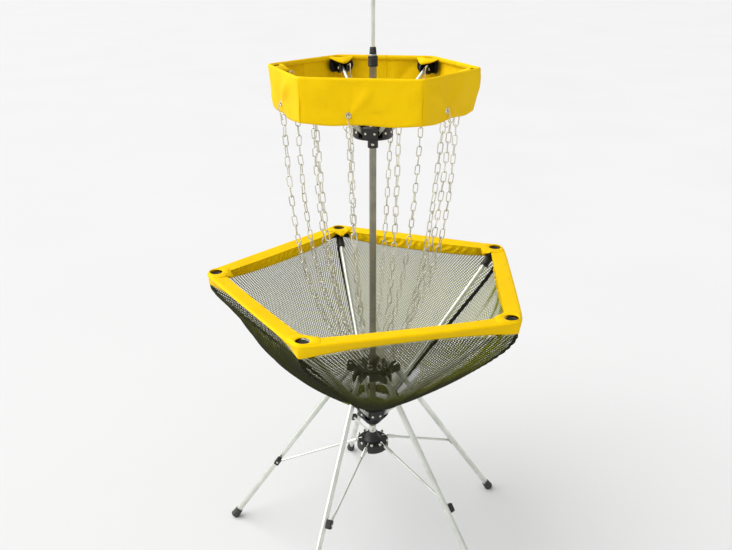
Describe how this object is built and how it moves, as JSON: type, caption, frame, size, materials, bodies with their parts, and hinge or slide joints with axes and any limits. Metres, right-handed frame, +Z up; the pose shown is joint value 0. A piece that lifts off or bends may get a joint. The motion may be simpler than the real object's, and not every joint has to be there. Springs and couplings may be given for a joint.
{
  "type": "disc golf basket",
  "caption": "Portable disc golf target: cloth band over hanging chains, folding net basket on ribs, and a folding braced stand on one telescoping pole.",
  "frame": {"origin": "on the ground under the middle of the outline, with the pole 38.7 mm along +X from it", "axes": "+Z up along the pole; -X towards the first basket rib; the front of the usual view is -Y"},
  "size_m": [0.8286, 0.8616, 1.57],
  "materials": {
    "pole_tube": "satin grey-taupe anodised tube",
    "frame_tube": "brushed bright tube",
    "black_plastic": "moulded, slightly satin",
    "band_cloth": "coated woven cloth with stitched hems",
    "net_cloth": "open knitted mesh",
    "chain_steel": "zinc plated wire"
  },
  "bodies": {
    "pole": {"outer_pole": "pole_tube", "collar_base": "black_plastic", "upper_hub": "black_plastic", "basket_hub": "black_plastic", "brace_hub": "black_plastic", "top_band": "band_cloth", "basket_rim": "band_cloth", "net_panel_1": "net_cloth", "net_panel_2": "net_cloth", "net_panel_3": "net_cloth", "net_panel_4": "net_cloth", "net_panel_5": "net_cloth"},
    "inner_pole": {"inner_pole": "frame_tube"},
    "collar_nut": {"collar_nut": "black_plastic"},
    "upper_rib_1": {"upper_rib_1": "frame_tube"},
    "upper_corner_1": {"upper_corner_1": "black_plastic"},
    "upper_rib_2": {"upper_rib_2": "frame_tube"},
    "upper_corner_2": {"upper_corner_2": "black_plastic"},
    "upper_rib_3": {"upper_rib_3": "frame_tube"},
    "upper_corner_3": {"upper_corner_3": "black_plastic"},
    "upper_rib_4": {"upper_rib_4": "frame_tube"},
    "upper_corner_4": {"upper_corner_4": "black_plastic"},
    "upper_rib_5": {"upper_rib_5": "frame_tube"},
    "upper_corner_5": {"upper_corner_5": "black_plastic"},
    "upper_rib_6": {"upper_rib_6": "frame_tube"},
    "upper_corner_6": {"upper_corner_6": "black_plastic"},
    "chain_ring": {"chain_ring": "black_plastic"},
    "chain_1": {"chain_1": "chain_steel"},
    "chain_2": {"chain_2": "chain_steel"},
    "chain_3": {"chain_3": "chain_steel"},
    "chain_4": {"chain_4": "chain_steel"},
    "chain_5": {"chain_5": "chain_steel"},
    "chain_6": {"chain_6": "chain_steel"},
    "chain_7": {"chain_7": "chain_steel"},
    "chain_8": {"chain_8": "chain_steel"},
    "chain_9": {"chain_9": "chain_steel"},
    "chain_10": {"chain_10": "chain_steel"},
    "chain_11": {"chain_11": "chain_steel"},
    "chain_12": {"chain_12": "chain_steel"},
    "basket_rib_1": {"basket_rib_1": "frame_tube", "basket_corner_1": "black_plastic"},
    "basket_rib_2": {"basket_rib_2": "frame_tube", "basket_corner_2": "black_plastic"},
    "basket_rib_3": {"basket_rib_3": "frame_tube", "basket_corner_3": "black_plastic"},
    "basket_rib_4": {"basket_rib_4": "frame_tube", "basket_corner_4": "black_plastic"},
    "basket_rib_5": {"basket_rib_5": "frame_tube", "basket_corner_5": "black_plastic"},
    "leg_hub": {"leg_hub": "black_plastic"},
    "leg_1": {"leg_1": "frame_tube"},
    "brace_1": {"brace_1": "frame_tube"},
    "leg_2": {"leg_2": "frame_tube"},
    "brace_2": {"brace_2": "frame_tube"},
    "leg_3": {"leg_3": "frame_tube"},
    "brace_3": {"brace_3": "frame_tube"},
    "leg_4": {"leg_4": "frame_tube"},
    "brace_4": {"brace_4": "frame_tube"},
    "leg_5": {"leg_5": "frame_tube"},
    "brace_5": {"brace_5": "frame_tube"}
  },
  "joints": [
    {"name": "pole_slide", "type": "slide", "parent": "pole", "child": "inner_pole", "axis": [0, 0, 1], "range_m": [-0.125, 0.15]},
    {"name": "collar_twist", "type": "hinge", "parent": "pole", "child": "collar_nut", "pos_m": [0.03869, 0, 1.407], "axis": [0, 0, 1], "range_deg": [0, 90]},
    {"name": "frame_fold", "type": "hinge", "parent": "pole", "child": "upper_rib_1", "pos_m": [0.00083, 0.00331, 1.215], "axis": [0.0872, 0.9962, 0], "range_deg": [0, 47], "deforming": ["top_band", "basket_rim", "net_panel_1", "net_panel_2", "net_panel_3", "net_panel_4", "net_panel_5", "chain_1", "chain_2", "chain_3", "chain_4", "chain_5", "chain_6", "chain_7", "chain_8", "chain_9", "chain_10", "chain_11", "chain_12"]},
    {"name": "top_corner_level_1", "type": "hinge", "parent": "upper_rib_1", "child": "upper_corner_1", "pos_m": [-0.18247, 0.01935, 1.342], "axis": [0.0872, 0.9962, 0], "range_deg": [-47, 0]},
    {"name": "top_rib_fold_2", "type": "hinge", "parent": "pole", "child": "upper_rib_2", "pos_m": [0.01689, -0.03113, 1.215], "axis": [-0.8192, 0.5736, 0], "range_deg": [0, 47]},
    {"name": "top_corner_level_2", "type": "hinge", "parent": "upper_rib_2", "child": "upper_corner_2", "pos_m": [-0.08865, -0.18185, 1.342], "axis": [-0.8192, 0.5736, 0], "range_deg": [-47, 0]},
    {"name": "top_rib_fold_3", "type": "hinge", "parent": "pole", "child": "upper_rib_3", "pos_m": [0.05475, -0.03444, 1.215], "axis": [-0.9063, -0.4226, 0], "range_deg": [0, 47]},
    {"name": "top_corner_level_3", "type": "hinge", "parent": "upper_rib_3", "child": "upper_corner_3", "pos_m": [0.13251, -0.2012, 1.342], "axis": [-0.9063, -0.4226, 0], "range_deg": [-47, 0]},
    {"name": "top_rib_fold_4", "type": "hinge", "parent": "pole", "child": "upper_rib_4", "pos_m": [0.07654, -0.00331, 1.215], "axis": [-0.0872, -0.9962, 0], "range_deg": [0, 47]},
    {"name": "top_corner_level_4", "type": "hinge", "parent": "upper_rib_4", "child": "upper_corner_4", "pos_m": [0.25984, -0.01935, 1.342], "axis": [-0.0872, -0.9962, 0], "range_deg": [-47, 0]},
    {"name": "top_rib_fold_5", "type": "hinge", "parent": "pole", "child": "upper_rib_5", "pos_m": [0.06048, 0.03113, 1.215], "axis": [0.8192, -0.5736, 0], "range_deg": [0, 47]},
    {"name": "top_corner_level_5", "type": "hinge", "parent": "upper_rib_5", "child": "upper_corner_5", "pos_m": [0.16602, 0.18185, 1.342], "axis": [0.8192, -0.5736, 0], "range_deg": [-47, 0]},
    {"name": "top_rib_fold_6", "type": "hinge", "parent": "pole", "child": "upper_rib_6", "pos_m": [0.02263, 0.03444, 1.215], "axis": [0.9063, 0.4226, 0], "range_deg": [0, 47]},
    {"name": "top_corner_level_6", "type": "hinge", "parent": "upper_rib_6", "child": "upper_corner_6", "pos_m": [-0.05513, 0.2012, 1.342], "axis": [0.9063, 0.4226, 0], "range_deg": [-47, 0]},
    {"name": "chain_ring_slide", "type": "slide", "parent": "pole", "child": "chain_ring", "axis": [0, 0, 1], "range_m": [0, 0.075]},
    {"name": "chain_swing_1", "type": "hinge", "parent": "chain_ring", "child": "chain_1", "pos_m": [-0.00514, 0.00383, 0.566], "axis": [0.0872, 0.9962, 0], "range_deg": [0, 11.4]},
    {"name": "chain_swing_2", "type": "hinge", "parent": "chain_ring", "child": "chain_2", "pos_m": [-0.00119, -0.0186, 0.566], "axis": [-0.4226, 0.9063, 0], "range_deg": [0, 10.5]},
    {"name": "chain_swing_3", "type": "hinge", "parent": "chain_ring", "child": "chain_3", "pos_m": [0.01345, -0.03604, 0.566], "axis": [-0.8192, 0.5736, 0], "range_deg": [0, 11.4]},
    {"name": "chain_swing_4", "type": "hinge", "parent": "chain_ring", "child": "chain_4", "pos_m": [0.03485, -0.04383, 0.566], "axis": [-0.9962, 0.0872, 0], "range_deg": [0, 10.5]},
    {"name": "chain_swing_5", "type": "hinge", "parent": "chain_ring", "child": "chain_5", "pos_m": [0.05728, -0.03988, 0.566], "axis": [-0.9063, -0.4226, 0], "range_deg": [0, 11.4]},
    {"name": "chain_swing_6", "type": "hinge", "parent": "chain_ring", "child": "chain_6", "pos_m": [0.07473, -0.02524, 0.566], "axis": [-0.5736, -0.8192, 0], "range_deg": [0, 10.5]},
    {"name": "chain_swing_7", "type": "hinge", "parent": "chain_ring", "child": "chain_7", "pos_m": [0.08252, -0.00383, 0.566], "axis": [-0.0872, -0.9962, 0], "range_deg": [0, 11.4]},
    {"name": "chain_swing_8", "type": "hinge", "parent": "chain_ring", "child": "chain_8", "pos_m": [0.07857, 0.0186, 0.566], "axis": [0.4226, -0.9063, 0], "range_deg": [0, 10.5]},
    {"name": "chain_swing_9", "type": "hinge", "parent": "chain_ring", "child": "chain_9", "pos_m": [0.06393, 0.03604, 0.566], "axis": [0.8192, -0.5736, 0], "range_deg": [0, 11.4]},
    {"name": "chain_swing_10", "type": "hinge", "parent": "chain_ring", "child": "chain_10", "pos_m": [0.04252, 0.04383, 0.566], "axis": [0.9962, -0.0872, 0], "range_deg": [0, 10.5]},
    {"name": "chain_swing_11", "type": "hinge", "parent": "chain_ring", "child": "chain_11", "pos_m": [0.02009, 0.03988, 0.566], "axis": [0.9063, 0.4226, 0], "range_deg": [0, 11.4]},
    {"name": "chain_swing_12", "type": "hinge", "parent": "chain_ring", "child": "chain_12", "pos_m": [0.00265, 0.02524, 0.566], "axis": [0.5736, 0.8192, 0], "range_deg": [0, 10.5]},
    {"name": "basket_fold_1", "type": "hinge", "parent": "pole", "child": "basket_rib_1", "pos_m": [0.00269, -0.002, 0.418], "axis": [0, 1, 0], "range_deg": [0, 35]},
    {"name": "basket_fold_2", "type": "hinge", "parent": "pole", "child": "basket_rib_2", "pos_m": [0.02947, -0.03486, 0.418], "axis": [-0.9511, 0.309, 0], "range_deg": [0, 35]},
    {"name": "basket_fold_3", "type": "hinge", "parent": "pole", "child": "basket_rib_3", "pos_m": [0.06899, -0.01954, 0.418], "axis": [-0.5878, -0.809, 0], "range_deg": [0, 35]},
    {"name": "basket_fold_4", "type": "hinge", "parent": "pole", "child": "basket_rib_4", "pos_m": [0.06664, 0.02278, 0.418], "axis": [0.5878, -0.809, 0], "range_deg": [0, 35]},
    {"name": "basket_fold_5", "type": "hinge", "parent": "pole", "child": "basket_rib_5", "pos_m": [0.02566, 0.03362, 0.418], "axis": [0.9511, 0.309, 0], "range_deg": [0, 35]},
    {"name": "legs_fold", "type": "slide", "parent": "pole", "child": "leg_hub", "axis": [0, 0, 1], "range_m": [-0.094, 0]},
    {"name": "leg_fold_1", "type": "hinge", "parent": "leg_hub", "child": "leg_1", "pos_m": [-0.02272, 0.01815, 0.5455], "axis": [-0.0349, -0.9994, 0], "range_deg": [0, 28.3]},
    {"name": "brace_fold_1", "type": "hinge", "parent": "pole", "child": "brace_1", "pos_m": [0.00271, 0.00126, 0.318], "axis": [-0.0349, -0.9994, 0], "range_deg": [0, 54]},
    {"name": "leg_fold_2", "type": "hinge", "parent": "leg_hub", "child": "leg_2", "pos_m": [0.00245, -0.05279, 0.5455], "axis": [0.9397, -0.342, 0], "range_deg": [0, 28.3]},
    {"name": "brace_fold_2", "type": "hinge", "parent": "pole", "child": "brace_2", "pos_m": [0.02638, -0.03383, 0.318], "axis": [0.9397, -0.342, 0], "range_deg": [0, 54]},
    {"name": "leg_fold_3", "type": "hinge", "parent": "leg_hub", "child": "leg_3", "pos_m": [0.07769, -0.05078, 0.5455], "axis": [0.6157, 0.788, 0], "range_deg": [0, 28.3]},
    {"name": "brace_fold_3", "type": "hinge", "parent": "pole", "child": "brace_3", "pos_m": [0.06706, -0.02216, 0.318], "axis": [0.6157, 0.788, 0], "range_deg": [0, 54]},
    {"name": "leg_fold_4", "type": "hinge", "parent": "leg_hub", "child": "leg_4", "pos_m": [0.09904, 0.02141, 0.5455], "axis": [-0.5592, 0.829, 0], "range_deg": [0, 28.3]},
    {"name": "brace_fold_4", "type": "hinge", "parent": "pole", "child": "brace_4", "pos_m": [0.06853, 0.02013, 0.318], "axis": [-0.5592, 0.829, 0], "range_deg": [0, 54]},
    {"name": "leg_fold_5", "type": "hinge", "parent": "leg_hub", "child": "leg_5", "pos_m": [0.03698, 0.06401, 0.5455], "axis": [-0.9613, -0.2756, 0], "range_deg": [0, 28.3]},
    {"name": "brace_fold_5", "type": "hinge", "parent": "pole", "child": "brace_5", "pos_m": [0.02876, 0.03461, 0.318], "axis": [-0.9613, -0.2756, 0], "range_deg": [0, 54]}
  ],
  "couplings": [
    {"joint": "top_corner_level_1", "follows": "frame_fold", "ratio": -1},
    {"joint": "top_rib_fold_2", "follows": "frame_fold", "ratio": 1},
    {"joint": "top_corner_level_2", "follows": "frame_fold", "ratio": -1},
    {"joint": "top_rib_fold_3", "follows": "frame_fold", "ratio": 1},
    {"joint": "top_corner_level_3", "follows": "frame_fold", "ratio": -1},
    {"joint": "top_rib_fold_4", "follows": "frame_fold", "ratio": 1},
    {"joint": "top_corner_level_4", "follows": "frame_fold", "ratio": -1},
    {"joint": "top_rib_fold_5", "follows": "frame_fold", "ratio": 1},
    {"joint": "top_corner_level_5", "follows": "frame_fold", "ratio": -1},
    {"joint": "top_rib_fold_6", "follows": "frame_fold", "ratio": 1},
    {"joint": "top_corner_level_6", "follows": "frame_fold", "ratio": -1},
    {"joint": "chain_ring_slide", "follows": "frame_fold", "m_per_rad": 0.091429},
    {"joint": "chain_swing_1", "follows": "frame_fold", "ratio": 0.24255},
    {"joint": "chain_swing_2", "follows": "frame_fold", "ratio": 0.2234},
    {"joint": "chain_swing_3", "follows": "frame_fold", "ratio": 0.24255},
    {"joint": "chain_swing_4", "follows": "frame_fold", "ratio": 0.2234},
    {"joint": "chain_swing_5", "follows": "frame_fold", "ratio": 0.24255},
    {"joint": "chain_swing_6", "follows": "frame_fold", "ratio": 0.2234},
    {"joint": "chain_swing_7", "follows": "frame_fold", "ratio": 0.24255},
    {"joint": "chain_swing_8", "follows": "frame_fold", "ratio": 0.2234},
    {"joint": "chain_swing_9", "follows": "frame_fold", "ratio": 0.24255},
    {"joint": "chain_swing_10", "follows": "frame_fold", "ratio": 0.2234},
    {"joint": "chain_swing_11", "follows": "frame_fold", "ratio": 0.24255},
    {"joint": "chain_swing_12", "follows": "frame_fold", "ratio": 0.2234},
    {"joint": "basket_fold_1", "follows": "frame_fold", "ratio": 0.74468},
    {"joint": "basket_fold_2", "follows": "frame_fold", "ratio": 0.74468},
    {"joint": "basket_fold_3", "follows": "frame_fold", "ratio": 0.74468},
    {"joint": "basket_fold_4", "follows": "frame_fold", "ratio": 0.74468},
    {"joint": "basket_fold_5", "follows": "frame_fold", "ratio": 0.74468},
    {"joint": "leg_fold_1", "follows": "legs_fold", "rad_per_m": -5.2546},
    {"joint": "brace_fold_1", "follows": "legs_fold", "rad_per_m": -10.026},
    {"joint": "leg_fold_2", "follows": "legs_fold", "rad_per_m": -5.2546},
    {"joint": "brace_fold_2", "follows": "legs_fold", "rad_per_m": -10.026},
    {"joint": "leg_fold_3", "follows": "legs_fold", "rad_per_m": -5.2546},
    {"joint": "brace_fold_3", "follows": "legs_fold", "rad_per_m": -10.026},
    {"joint": "leg_fold_4", "follows": "legs_fold", "rad_per_m": -5.2546},
    {"joint": "brace_fold_4", "follows": "legs_fold", "rad_per_m": -10.026},
    {"joint": "leg_fold_5", "follows": "legs_fold", "rad_per_m": -5.2546},
    {"joint": "brace_fold_5", "follows": "legs_fold", "rad_per_m": -10.026}
  ]
}
